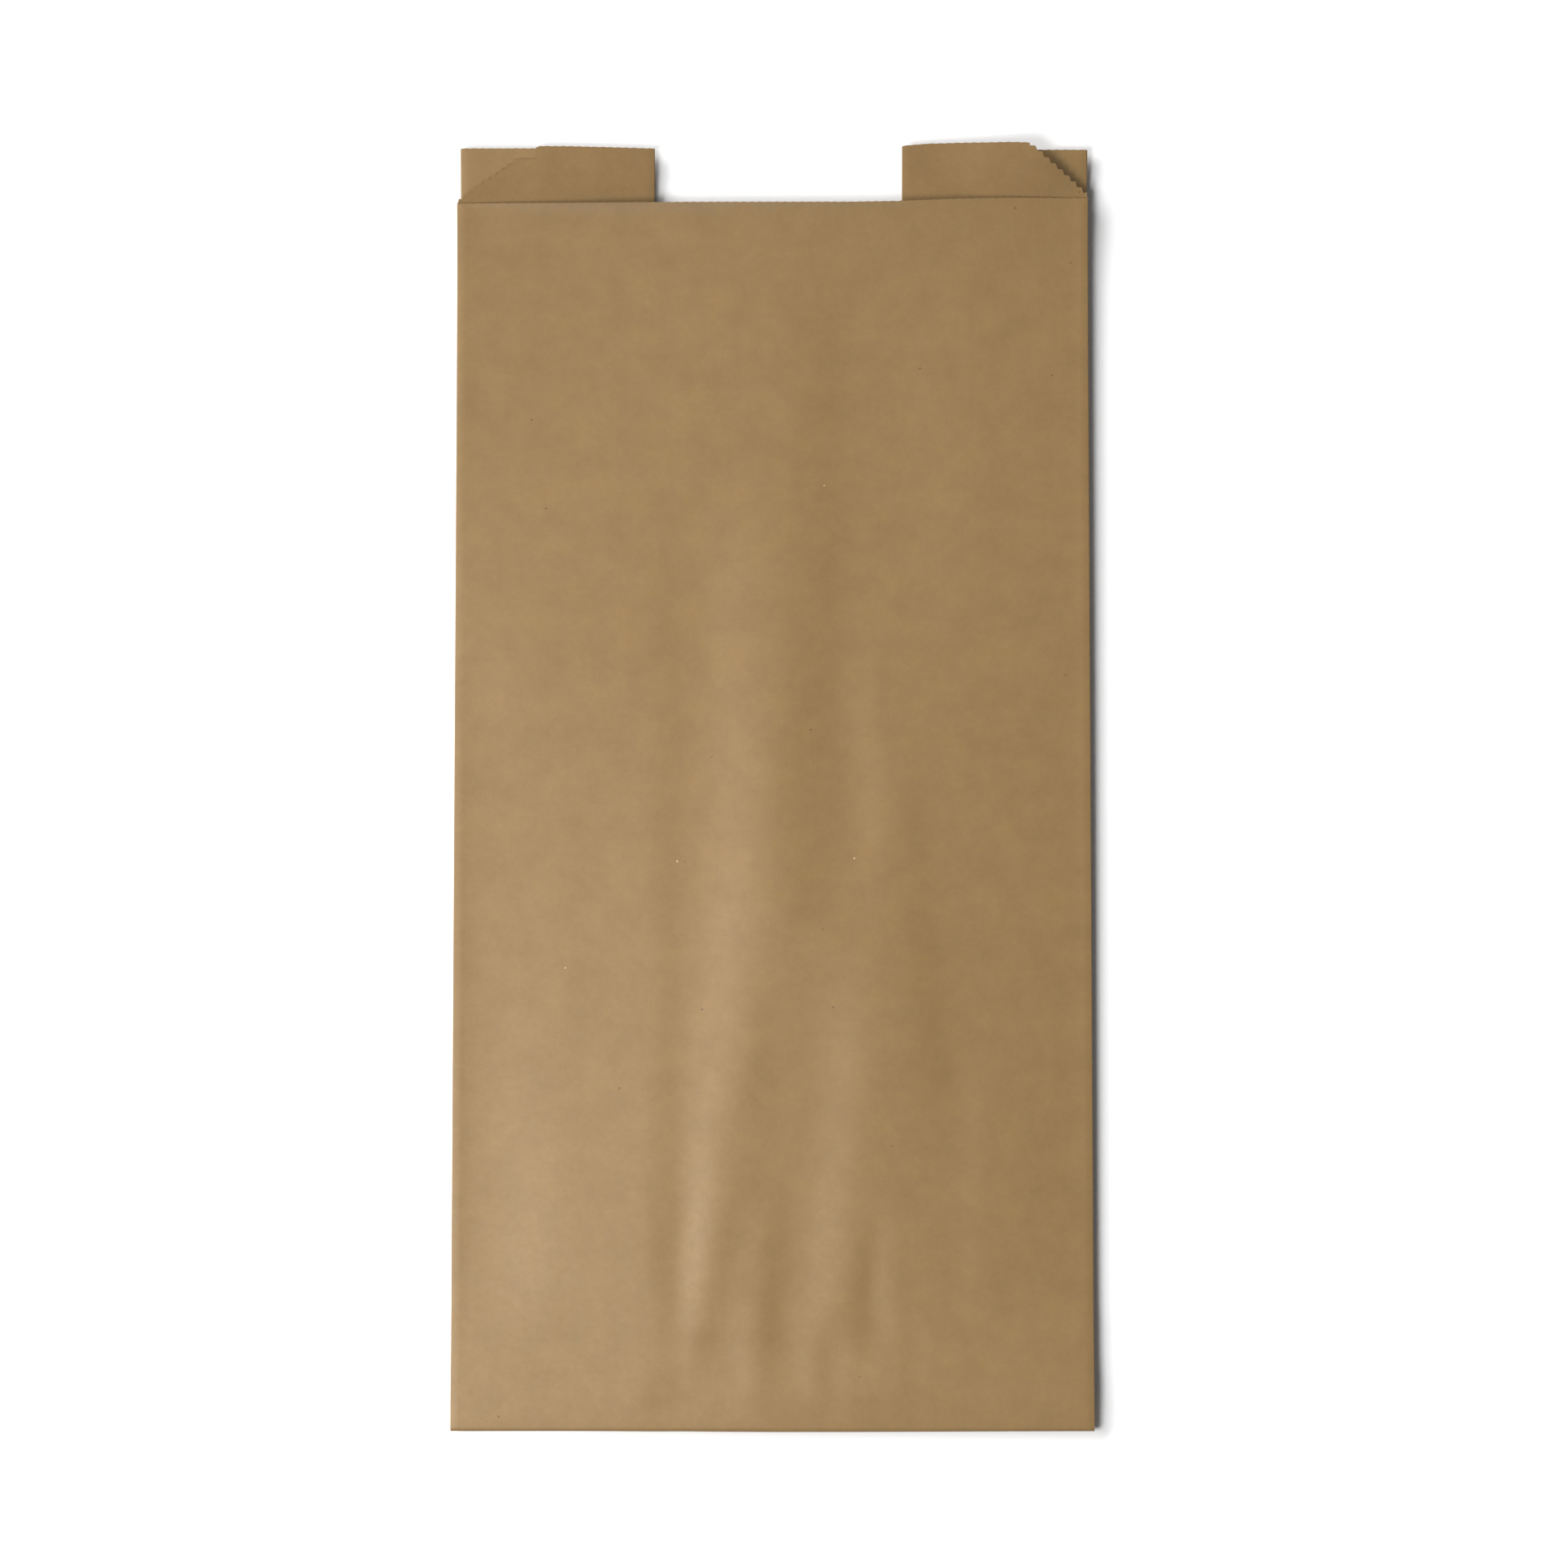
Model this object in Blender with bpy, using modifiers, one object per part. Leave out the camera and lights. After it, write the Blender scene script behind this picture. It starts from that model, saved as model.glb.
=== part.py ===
"""Gusseted kraft paper bread bag with a clear window, lying flat on its window side.

The paper is one sheet. Its flat blank is cut first, with the stepped mouth, the slanted and toothed
corner cuts, and the same cut again at its lower end. It is then folded: a gusset in from each side,
and the lower end over onto the window side as a glued flap. The clear film is a second sheet, glued
along the inside of the two paper strips that frame it.

Units are metres. +Z is up, X runs across the bag and +Y towards its mouth. The origin is at the
middle of the underside.

In the flat blank, u is the distance across the sheet from the middle of the plain face, and v the
distance along it from where the end fold starts.
"""

import math

import bmesh
import bpy

MM = 0.001

# The bag, laid flat
BAG_WIDTH = 200 * MM
FACE_LENGTH = 386 * MM  # plain face, from the end fold to its mouth edge
LIP_LENGTH = 18.5 * MM  # gussets and window side stand this far past the plain face
GUSSET_DEPTH = 60 * MM
STRIP_WIDTH = 61 * MM  # paper beside the window, from the side fold to the film
FILM_LAP = 9 * MM  # film glued behind each paper strip
FLAP_LENGTH = 28 * MM  # end folded over onto the window side

# Stock
PAPER_THICKNESS = 0.1 * MM
FILM_THICKNESS = 0.05 * MM
PLY_GAP = 0.1 * MM  # air between pressed plies of the paper
FILM_GAP = 0.3 * MM  # air between the film and the paper on either side of it

# The cut across the web that parts one bag from the next
CORNER_CUT_IN = 17 * MM
CORNER_CUT_UP = 14.5 * MM
LEFT_SHOULDER = 5.5 * MM  # short level run between the slanted cut and the lip
RIGHT_SHOULDER = 1.5 * MM
TOOTH_PITCH = 2.6 * MM
TOOTH_DEPTH = 0.8 * MM

# How the folded bag lies, each height taken above the paper strips that it lies on
EDGE_RISE = 2.3 * MM  # plain face at its side folds
FACE_RISE = 5.7 * MM  # plain face along its middle
EDGE_FOLD_GAP = 0.5 * MM  # between the plain face and the gusset ply folded in behind it
GUSSET_FOLD_GAP = 1.6 * MM  # between the two plies of a gusset, at its inner fold
RIGHT_CORNER_LIFT = 1.6 * MM  # the plies curl up at the right of the mouth
CURL_LENGTH = 60 * MM
CURL_WIDTH = 45 * MM
RISE_LENGTH = 75 * MM  # over which the plies open out from the pressed end fold
END_FOLD_RADIUS = 0.15 * MM
SETTLE_LENGTH = 15 * MM  # past the flap, over which the bag comes down onto the table
FILM_SAG = 0.22 * MM
FILM_SAG_WIDTH = 18 * MM

# Soft ridges that run along the plain face: share of the half width and share of the face length
# at the lower end, the same two at the upper end, then width and height
RIDGES = (
    (-0.12, 0.09, 0.03, 0.62, 11 * MM, 0.75 * MM),
    (0.03, 0.55, 0.08, 0.97, 14 * MM, 0.45 * MM),
    (0.27, 0.08, 0.38, 0.46, 9 * MM, 0.55 * MM),
    (-0.46, 0.14, -0.43, 0.80, 9 * MM, 0.4 * MM),
)
RIDGE_END = 0.07  # share of the face length over which a ridge dies away
EDGE_CALM = 0.3  # share of the half width, in from a side fold, over which ridges die away

# How finely the sheets are divided
FACE_COLUMNS = 12  # in each half of the plain face
PLY_COLUMNS = 2
TURN_COLUMNS = 4  # round each side or gusset fold
FACE_ROWS = 20
FLAP_ROWS = 2
END_FOLD_ROWS = 5
FOLD_ALLOWANCE = 1.5 * MM  # paper taken up by a side fold
END_ALLOWANCE = 4.0 * MM  # paper taken up by the end fold

# Worked out from the sizes above
HALF_WIDTH = BAG_WIDTH / 2
INNER_FOLD = HALF_WIDTH - GUSSET_DEPTH
STRIP_EDGE = HALF_WIDTH - STRIP_WIDTH
FILM_HALF = STRIP_EDGE + FILM_LAP
BAG_LENGTH = FACE_LENGTH + LIP_LENGTH

# Middle of each ply above the strips, where all are pressed together at the end fold
PRESSED_FILM = PAPER_THICKNESS / 2 + FILM_GAP + FILM_THICKNESS / 2
PRESSED_LOWER = PRESSED_FILM + FILM_THICKNESS / 2 + FILM_GAP + PAPER_THICKNESS / 2
PRESSED_UPPER = PRESSED_LOWER + PAPER_THICKNESS + PLY_GAP
PRESSED_FACE = PRESSED_UPPER + PAPER_THICKNESS + PLY_GAP

# The end fold turns round an axis that lies across the bag
AXIS_HEIGHT = PAPER_THICKNESS / 2 + PRESSED_FACE + END_FOLD_RADIUS
FOLD_REACH = END_FOLD_RADIUS + PRESSED_FACE + PAPER_THICKNESS / 2
FOLD_Y = FOLD_REACH - BAG_LENGTH / 2
FACE_END_V = FACE_LENGTH - FOLD_REACH
LIP_END_V = FACE_END_V + LIP_LENGTH
FLAP_RUN = FLAP_LENGTH - FOLD_REACH
BLANK_LENGTH = FACE_END_V + END_ALLOWANCE + FLAP_RUN

# Where each ply starts across the blank, from the middle of the plain face outwards
SIDE_FOLD_U = HALF_WIDTH
GUSSET_FOLD_U = SIDE_FOLD_U + GUSSET_DEPTH
STRIP_FOLD_U = GUSSET_FOLD_U + GUSSET_DEPTH
BLANK_HALF_U = STRIP_FOLD_U + STRIP_WIDTH

OBJECT_NAME = "paper_bread_bag"


def ease(t):
    """0 up to t = 0 and 1 from t = 1, level at both ends."""
    t = min(max(t, 0.0), 1.0)
    return t * t * (3 - 2 * t)


def mix(a, b, t):
    return a + (b - a) * t


def ridge_height(x, v):
    """How much the soft ridges lift the plain face at this place."""
    across = x / HALF_WIDTH
    along = v / FACE_END_V
    height = 0.0
    for low_x, low_v, high_x, high_v, width, lift in RIDGES:
        share = (along - low_v) / (high_v - low_v)
        off = (across - mix(low_x, high_x, share)) * HALF_WIDTH / width
        ends = ease((along - low_v) / RIDGE_END + 0.5) * ease((high_v - along) / RIDGE_END + 0.5)
        height += lift * ends * math.exp(-off * off)
    return height * ease((1 - abs(across)) / EDGE_CALM)


def curl(x, v):
    """How far the plies lift at the right of the mouth."""
    near_mouth = ease((v - FACE_END_V + CURL_LENGTH) / CURL_LENGTH)
    near_edge = ease((x - HALF_WIDTH + CURL_WIDTH) / CURL_WIDTH)
    return RIGHT_CORNER_LIFT * near_mouth * near_edge


def opened(pressed, free, v):
    """A height that goes from pressed at the end fold to free along the bag."""
    return mix(pressed, free, ease(v / RISE_LENGTH))


def face_height(x, v):
    arch = 1 - (abs(x) / HALF_WIDTH) ** 2
    free = mix(EDGE_RISE, FACE_RISE, arch) + ridge_height(x, v) + curl(x, v)
    return opened(PRESSED_FACE, free, v)


def lower_gusset_height(x, v):
    return PRESSED_LOWER


def upper_gusset_height(x, v):
    share = (abs(x) - INNER_FOLD) / GUSSET_DEPTH
    free = mix(PRESSED_LOWER + GUSSET_FOLD_GAP, EDGE_RISE - EDGE_FOLD_GAP, share) + curl(x, v)
    return opened(PRESSED_UPPER, free, v)


def strip_height(x, v):
    return 0.0


def film_height(x, v):
    """The film sags a little towards the table between the strips, clear of the end flap."""
    past_flap = ease((v - FLAP_RUN - SETTLE_LENGTH) / RISE_LENGTH)
    off_strip = ease((STRIP_EDGE - abs(x)) / FILM_SAG_WIDTH)
    return PRESSED_FILM - FILM_SAG * past_flap * off_strip


def turn(tip_x, outward, x_sign, first, second, share, v):
    """A point on the half round fold that joins two plies, share of the way round it.

    The fold's tip is at tip_x, and outward is 1 where it points away from the middle of the bag.
    """
    start = first(x_sign * tip_x, v)
    stop = second(x_sign * tip_x, v)
    radius = abs(start - stop) / 2
    angle = math.pi * share
    x = tip_x - outward * radius + outward * radius * math.sin(angle)
    return x, mix(start, stop, (1 - math.cos(angle)) / 2)


def run(from_tip, from_outward, to_tip, to_outward, x_sign, plies, share, v):
    """A point on the flat run of a ply between two folds, share of the way along it."""
    before, ply, after = plies
    start = from_tip
    stop = to_tip
    if before:
        gap = abs(before(x_sign * from_tip, v) - ply(x_sign * from_tip, v))
        start -= from_outward * gap / 2
    if after:
        gap = abs(after(x_sign * to_tip, v) - ply(x_sign * to_tip, v))
        stop -= to_outward * gap / 2
    x = mix(start, stop, share)
    return x, ply(x_sign * x, v)


def section(u, v):
    """The folded web's place across the bag and its height above the strips, for blank place u."""
    x_sign = math.copysign(1, u)
    across = abs(u)
    half_turn = FOLD_ALLOWANCE / 2
    face, upper, lower, strip = face_height, upper_gusset_height, lower_gusset_height, strip_height
    flats = (
        (0, SIDE_FOLD_U - half_turn, 0, 0, HALF_WIDTH, 1, (None, face, upper)),
        (SIDE_FOLD_U + half_turn, GUSSET_FOLD_U - half_turn, HALF_WIDTH, 1, INNER_FOLD, -1,
         (face, upper, lower)),
        (GUSSET_FOLD_U + half_turn, STRIP_FOLD_U - half_turn, INNER_FOLD, -1, HALF_WIDTH, 1,
         (upper, lower, strip)),
        (STRIP_FOLD_U + half_turn, BLANK_HALF_U, HALF_WIDTH, 1, STRIP_EDGE, 0,
         (lower, strip, None)),
    )
    turns = (
        (SIDE_FOLD_U, HALF_WIDTH, 1, face, upper),
        (GUSSET_FOLD_U, INNER_FOLD, -1, upper, lower),
        (STRIP_FOLD_U, HALF_WIDTH, 1, lower, strip),
    )
    for fold_u, tip_x, outward, first, second in turns:
        if abs(across - fold_u) < half_turn:
            share = (across - fold_u) / FOLD_ALLOWANCE + 0.5
            x, height = turn(tip_x, outward, x_sign, first, second, share, v)
            return x_sign * x, height
    for low, high, from_tip, from_outward, to_tip, to_outward, plies in flats:
        if across <= high or high == BLANK_HALF_U:
            share = (across - low) / (high - low)
            x, height = run(from_tip, from_outward, to_tip, to_outward, x_sign, plies, share, v)
            return x_sign * x, height
    raise ValueError(f"no ply at {u}")


def strip_level(v):
    """Middle of the paper strips above the table: on the flap, then down past its end."""
    flap_ply = PAPER_THICKNESS + FILM_GAP
    rest_of_stack = PRESSED_FACE + 2 * END_FOLD_RADIUS - flap_ply
    inner_end = FLAP_RUN - LIP_LENGTH
    off_stack = ease((v - inner_end) / (FLAP_RUN - inner_end))
    off_flap = ease((v - FLAP_RUN) / SETTLE_LENGTH)
    return PAPER_THICKNESS / 2 + rest_of_stack * (1 - off_stack) + flap_ply * (1 - off_flap)


def end_folded(x, height, v):
    """Bends a point of the flattened tube round the end fold and lays it on the table."""
    if v >= 0:
        return x, FOLD_Y + v, strip_level(v) + height
    radius = END_FOLD_RADIUS + height
    if v > -END_ALLOWANCE:
        angle = math.pi * -v / END_ALLOWANCE
        return x, FOLD_Y - radius * math.sin(angle), AXIS_HEIGHT + radius * math.cos(angle)
    return x, FOLD_Y - v - END_ALLOWANCE, AXIS_HEIGHT - radius


def paper_place(u, v):
    x, height = section(u, max(v, 0.0))
    return end_folded(x, height, v)


def film_place(u, v):
    return end_folded(u, film_height(u, max(v, 0.0)), v)


def slanted_cut(shoulder, x_sign):
    """The cut from the plain face's corner up to the lip, outwards across the blank."""
    slope = math.hypot(CORNER_CUT_IN, CORNER_CUT_UP)
    count = max(1, round(slope / TOOTH_PITCH))
    points = [(SIDE_FOLD_U, FACE_END_V)]
    for tooth in range(count):
        for part, depth in ((0.5, TOOTH_DEPTH), (1.0, 0.0)):
            share = (tooth + part) / count
            across = SIDE_FOLD_U + CORNER_CUT_IN * share + depth * CORNER_CUT_UP / slope
            along = FACE_END_V + CORNER_CUT_UP * share - depth * CORNER_CUT_IN / slope
            points.append((across, along))
    points.append((points[-1][0] + shoulder, points[-1][1]))
    points.append((points[-1][0], LIP_END_V))
    points.append((BLANK_HALF_U, LIP_END_V))
    return [(x_sign * across, along) for across, along in points]


def blank_outline():
    """The cut line at the mouth, then the same line one bag further down, back again."""
    left = slanted_cut(LEFT_SHOULDER, -1)
    right = slanted_cut(RIGHT_SHOULDER, 1)
    mouth = left[::-1] + right
    end = [(u, v - BLANK_LENGTH) for u, v in mouth]
    return mouth + end[::-1]


def steps(start, stop, count):
    return [mix(start, stop, i / count) for i in range(count + 1)]


def blank_columns():
    """Places across the blank where it is divided: evenly on the plies, closer round the folds."""
    half_turn = FOLD_ALLOWANCE / 2
    half = steps(0, SIDE_FOLD_U - half_turn, FACE_COLUMNS)
    for fold_u, next_u in (
        (SIDE_FOLD_U, GUSSET_FOLD_U - half_turn),
        (GUSSET_FOLD_U, STRIP_FOLD_U - half_turn),
        (STRIP_FOLD_U, BLANK_HALF_U),
    ):
        half += steps(fold_u - half_turn, fold_u + half_turn, TURN_COLUMNS)[1:]
        half += steps(fold_u + half_turn, next_u, PLY_COLUMNS)[1:]
    return [-u for u in half[:0:-1]] + half


def blank_rows():
    """Places along the blank where it is divided."""
    inner_end = FLAP_RUN - LIP_LENGTH
    rows = [-END_ALLOWANCE - FLAP_RUN * i / FLAP_ROWS for i in range(1, FLAP_ROWS)]
    rows += steps(-END_ALLOWANCE, 0, END_FOLD_ROWS)
    rows += [inner_end, (inner_end + FLAP_RUN) / 2, FLAP_RUN, FLAP_RUN + SETTLE_LENGTH / 2]
    rows += steps(FLAP_RUN + SETTLE_LENGTH, FACE_END_V - TOOTH_PITCH, FACE_ROWS)
    rows += [FACE_END_V + TOOTH_PITCH]
    return rows


def divided_sheet(outline, columns, rows):
    """A flat sheet with this outline, divided along the columns and rows."""
    bm = bmesh.new()
    bm.faces.new([bm.verts.new((u, v, 0)) for u, v in outline])
    for normal, places in (((0, 1, 0), rows), ((1, 0, 0), columns)):
        for place in places:
            bmesh.ops.bisect_plane(
                bm,
                geom=bm.verts[:] + bm.edges[:] + bm.faces[:],
                plane_co=[place * part for part in normal],
                plane_no=normal,
                dist=1e-7,
            )
    return bm


def material(name, colour, roughness, alpha=1.0):
    made = bpy.data.materials.new(name)
    made.use_nodes = True
    shader = made.node_tree.nodes["Principled BSDF"]
    shader.inputs["Base Color"].default_value = (*colour, 1)
    shader.inputs["Roughness"].default_value = roughness
    shader.inputs["Metallic"].default_value = 0
    shader.inputs["Alpha"].default_value = alpha
    made.diffuse_color = (*colour, alpha)
    return made


def sheet_object(name, bm, place, thickness, finish, collection):
    """Moves each point of a flat sheet to its folded place, and gives the sheet its thickness."""
    for vert in bm.verts:
        vert.co = place(vert.co.x, vert.co.y)
    mesh = bpy.data.meshes.new(name)
    bm.to_mesh(mesh)
    bm.free()
    mesh.shade_smooth()
    mesh.materials.append(finish)
    made = bpy.data.objects.new(name, mesh)
    collection.objects.link(made)
    wall = made.modifiers.new("sheet thickness", "SOLIDIFY")
    wall.thickness = thickness
    wall.offset = 0
    wall.use_even_offset = True
    return made


def make_paper(collection):
    """The one folded sheet of kraft paper."""
    bm = divided_sheet(blank_outline(), blank_columns(), blank_rows())
    finish = material("machine-glazed kraft paper", (0.40, 0.26, 0.12), 0.55)
    return sheet_object("kraft_paper_sheet", bm, paper_place, PAPER_THICKNESS, finish, collection)


def make_film(collection):
    """The clear window strip, as long as the window side with its folded end."""
    low = LIP_END_V - BLANK_LENGTH
    outline = [(-FILM_HALF, low), (FILM_HALF, low), (FILM_HALF, LIP_END_V), (-FILM_HALF, LIP_END_V)]
    edge_columns = [STRIP_EDGE - FILM_SAG_WIDTH * share for share in (1, 0.5, 0)]
    columns = [-u for u in edge_columns] + edge_columns
    bm = divided_sheet(outline, columns, blank_rows())
    finish = material("clear polypropylene film", (0.95, 0.96, 0.97), 0.1, 0.2)
    return sheet_object("window_film", bm, film_place, FILM_THICKNESS, finish, collection)


def clear_scene():
    for old in list(bpy.data.objects):
        bpy.data.objects.remove(old)


def main():
    clear_scene()
    collection = bpy.data.collections.new(OBJECT_NAME)
    bpy.context.scene.collection.children.link(collection)
    base = bpy.data.objects.new(OBJECT_NAME, None)
    collection.objects.link(base)
    for piece in (make_paper(collection), make_film(collection)):
        piece.parent = base


main()
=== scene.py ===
"""Gusseted kraft paper bread bag with a clear window, lying flat on its window side.

Each sheet starts as a flat blank, is cut to its outline, and is then folded and laid in place.
In a blank, u is the distance across the sheet from the middle of the plain face, and v the
distance along it from where the end fold starts.
"""

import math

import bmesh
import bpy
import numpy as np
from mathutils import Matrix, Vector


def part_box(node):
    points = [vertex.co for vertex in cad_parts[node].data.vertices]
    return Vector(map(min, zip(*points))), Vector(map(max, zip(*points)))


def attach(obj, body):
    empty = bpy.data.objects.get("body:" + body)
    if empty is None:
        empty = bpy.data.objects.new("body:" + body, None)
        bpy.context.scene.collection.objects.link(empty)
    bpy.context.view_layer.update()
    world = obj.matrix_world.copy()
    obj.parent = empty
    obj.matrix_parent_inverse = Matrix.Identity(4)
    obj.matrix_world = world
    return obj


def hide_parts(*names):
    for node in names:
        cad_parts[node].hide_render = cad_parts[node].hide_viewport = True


bl_info = {
    "name": "Paper bread bag",
    "version": (1, 0, 0),
    "blender": (4, 5, 0),
    "location": "3D View > Sidebar > Bread bag",
    "description": "Makes a folded kraft paper bread bag with a clear window, and a plain stage",
    "category": "Mesh",
}

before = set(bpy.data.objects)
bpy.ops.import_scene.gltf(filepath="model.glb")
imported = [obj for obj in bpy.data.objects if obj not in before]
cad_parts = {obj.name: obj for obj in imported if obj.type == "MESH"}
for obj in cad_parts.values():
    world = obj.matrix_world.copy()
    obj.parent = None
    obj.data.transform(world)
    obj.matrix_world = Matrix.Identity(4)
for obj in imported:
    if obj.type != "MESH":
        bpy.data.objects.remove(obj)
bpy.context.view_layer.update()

PAPER_LOW, PAPER_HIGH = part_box("kraft_paper_sheet")
MM = 0.001


def linear(hex_colour):
    """An sRGB hex colour as the linear red, green and blue that shaders take."""
    parts = [int(hex_colour[i:i + 2], 16) / 255 for i in (1, 3, 5)]
    return tuple(p / 12.92 if p <= 0.04045 else ((p + 0.055) / 1.055) ** 2.4 for p in parts)


def length(name, about, size):
    return bpy.props.FloatProperty(
        name=name, description=about, default=size, unit="LENGTH", precision=5
    )


def factor(name, about, part):
    return bpy.props.FloatProperty(
        name=name, description=about, default=part, subtype="FACTOR", min=0, max=1
    )


def colour(name, about, hex_colour):
    return bpy.props.FloatVectorProperty(
        name=name, description=about, default=linear(hex_colour), subtype="COLOR", min=0, max=1
    )


class BagSizes(bpy.types.PropertyGroup):
    """Sizes of the folded bag and of its two sheets."""

    width: length(
        "Width", "Flat width over the side folds", round(PAPER_HIGH.x - PAPER_LOW.x, 3)
    )
    bag_length: length("Length", "From the end fold to the lip", round(2 * PAPER_HIGH.y, 4))
    lip: length("Lip", "How far the gussets stand past the plain face", 18.5 * MM)
    gusset: length("Gusset depth", "From a side fold to the gusset's inner fold", 60.7 * MM)
    slip: length("Fold slip", "How far both inner folds lie off to the right", 1.8 * MM)
    inset: length("Left inset", "Lower left fold inside the plain face's fold", 0.8 * MM)
    tuck: length("Strip tuck", "How far each strip's cut edge lies behind the inner fold", 0.5 * MM)
    film_lap: length("Film lap", "Film glued behind each paper strip", 9 * MM)
    flap: length("Flap", "End folded over onto the window side", 28 * MM)
    corner_in: length("Corner cut in", "Width of the slanted corner cut", 18.2 * MM)
    corner_up: length("Corner cut up", "Height of the slanted corner cut", 15.4 * MM)
    left_shoulder: length("Left shoulder", "Level run beside the left corner cut", 5.3 * MM)
    right_shoulder: length("Right shoulder", "Level run beside the right corner cut", 0.3 * MM)
    tooth_pitch: length("Tooth pitch", "Spacing of the knife's teeth", 2.6 * MM)
    tooth_depth: length("Tooth depth", "Depth of the teeth on the slanted cuts", 0.8 * MM)
    level_tooth: length("Level tooth depth", "Depth of the teeth on the level cuts", 0.12 * MM)
    paper: length("Paper thickness", "Thickness of the kraft paper", 0.08 * MM)
    film: length("Film thickness", "Thickness of the clear film", 0.03 * MM)


class BagLie(bpy.types.PropertyGroup):
    """How the folded bag lies: heights, gaps between plies, and the lengths they change over."""

    edge_rise: length("Edge rise", "Plain face at its side folds", 3.5 * MM)
    face_rise: length("Face rise", "Plain face along its middle", 5.0 * MM)
    mouth_rise: length("Mouth rise", "Plain face along its middle, at its mouth", 3.7 * MM)
    edge_gap: length("Edge fold gap", "Between the plain face and the gusset behind it", 0.6 * MM)
    gusset_gap: length("Gusset fold gap", "Between a gusset's plies at its inner fold", 1.6 * MM)
    mouth_lift: length("Mouth lift", "How far the plain face curls up at its mouth", 1.4 * MM)
    corner_hold: length("Corner hold", "How much less the right mouth corner curls up", 0.7 * MM)
    curl_length: length("Curl length", "Along the bag, how far the mouth's curl reaches", 70 * MM)
    curl_width: length("Curl width", "Across the bag, how far that curl reaches", 45 * MM)
    lip_lift: length("Lip lift", "How far the ends of the lips stand off the table", 2.8 * MM)
    lip_run: length("Lip run", "Length over which the lips come up", 45 * MM)
    left_lip_gap: length("Left lip gap", "Between the plies of the left lip, at its top", 0.35 * MM)
    right_lip_gap: length(
        "Right lip gap", "Between the right lip's plies, at the slanted cut", 5.2 * MM
    )
    rise_length: length("Rise length", "Over which the plies open out from the end fold", 68 * MM)
    edge_run: length("Edge rise length", "The same along the right side folds", 45 * MM)
    settle: length("Settle length", "Past the flap, over which the bag comes down", 15 * MM)
    end_radius: length("End fold radius", "Inside radius of the end fold", 0.15 * MM)
    end_lift: length("End lift", "How far the end fold stands off the table", 1.3 * MM)
    end_run: length("End lift length", "Length over which the end comes down to the table", 55 * MM)
    film_sag: length("Film sag", "How far the film hangs between the strips", 0.22 * MM)
    sag_width: length("Sag width", "Over which the film comes down from a strip", 18 * MM)


class BagFinish(bpy.types.PropertyGroup):
    """Colours of the paper and the film."""

    kraft: colour("Kraft", "Main colour of the brown paper", "#7E633A")
    mottle: factor("Mottle", "How strongly the pulp's cloudiness shows", 0.11)
    rough_side: colour("Rough side", "The unglazed inner side", "#7C613A")
    # The cut edge's paler colour is partly the fibre ends' own tone and partly a painted highlight
    # where light catches the cut
    cut_edge_and_highlight: colour("Cut edge", "Torn fibre along the cut edges", "#B59A72")
    bark: colour("Bark specks", "Small dark specks in the pulp", "#5B3F22")
    shive: colour("Pale flecks", "Small pale flecks in the pulp", "#C9AE84")
    film: colour("Film", "Tint of the clear film", "#F6F8F8")


# Heights of the pressed plies, as in the solids: each sheet's middle above the strips' middle
CAD_PAPER = 0.1 * MM
CAD_FILM = 0.05 * MM
PLY_GAP = 0.1 * MM
FILM_GAP = 0.3 * MM
PRESSED_FILM = CAD_PAPER / 2 + FILM_GAP + CAD_FILM / 2
PRESSED_LOWER = PRESSED_FILM + CAD_FILM / 2 + FILM_GAP + CAD_PAPER / 2
PRESSED_UPPER = PRESSED_LOWER + CAD_PAPER + PLY_GAP
PRESSED_FACE = PRESSED_UPPER + CAD_PAPER + PLY_GAP

# Paper taken up by a side fold and by the end fold
SIDE_TURN = 1.5 * MM
END_TURN = 4.0 * MM
ROUNDING = 1e-6  # places closer than this, in metres, are one place

# The bag was cut a little out of square: how far the mouth end reaches past its nominal line, in
# millimetres, at places across the blank in millimetres
MOUTH_SKEW = (
    (-180, -0.75), (-162, -0.9), (-152, -0.6), (-136, -0.2), (-125, -0.1), (-123, -0.75),
    (-100, -0.6), (-25, 0), (25, 0), (42, 0.3), (60, 1.0), (75, 1.3), (100, 1.3), (118, -0.1),
    (120, 0.1), (125, 0.4), (140, 0.7), (150, 0.6), (156, 0.15), (160, -0.3), (185, -1.2),
)
# The height that each slanted cut really reaches, and how far down the bag the skew fades out
LEFT_CORNER_TOP = 15.0 * MM
RIGHT_CORNER_TOP = 17.8 * MM
SKEW_RUN = 40 * MM

# The right lip's gap widens along this curve, from its inner fold to its slanted cut
LIP_GAP_REACH = 1.15
LIP_GAP_BEND = 1.5

# How finely the sheets are divided
TURN_STEPS = 6
END_STEPS = 8
CORNER_TEETH = 9
FILM_CELL = 4.0 * MM

# Which free edges carry a tooth: across the sheet more than the first share of a tooth's pitch,
# and on a slanted cut where one edge also runs more than the second along it
TOOTH_LEAST_ACROSS = 0.3
TOOTH_SLANT = 0.2
SMOOTH_ANGLE = math.radians(50)

# The photograph's frame: the plain face's edges there, in its 1920 pixels
PHOTO_MIDDLE = 946
PHOTO_END = 1752
PHOTO_MOUTH = 246
PHOTO_END_WIDTH = 788
PHOTO_MOUTH_WIDTH = 771
PHOTO_FACE_MIDDLE = 993

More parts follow.
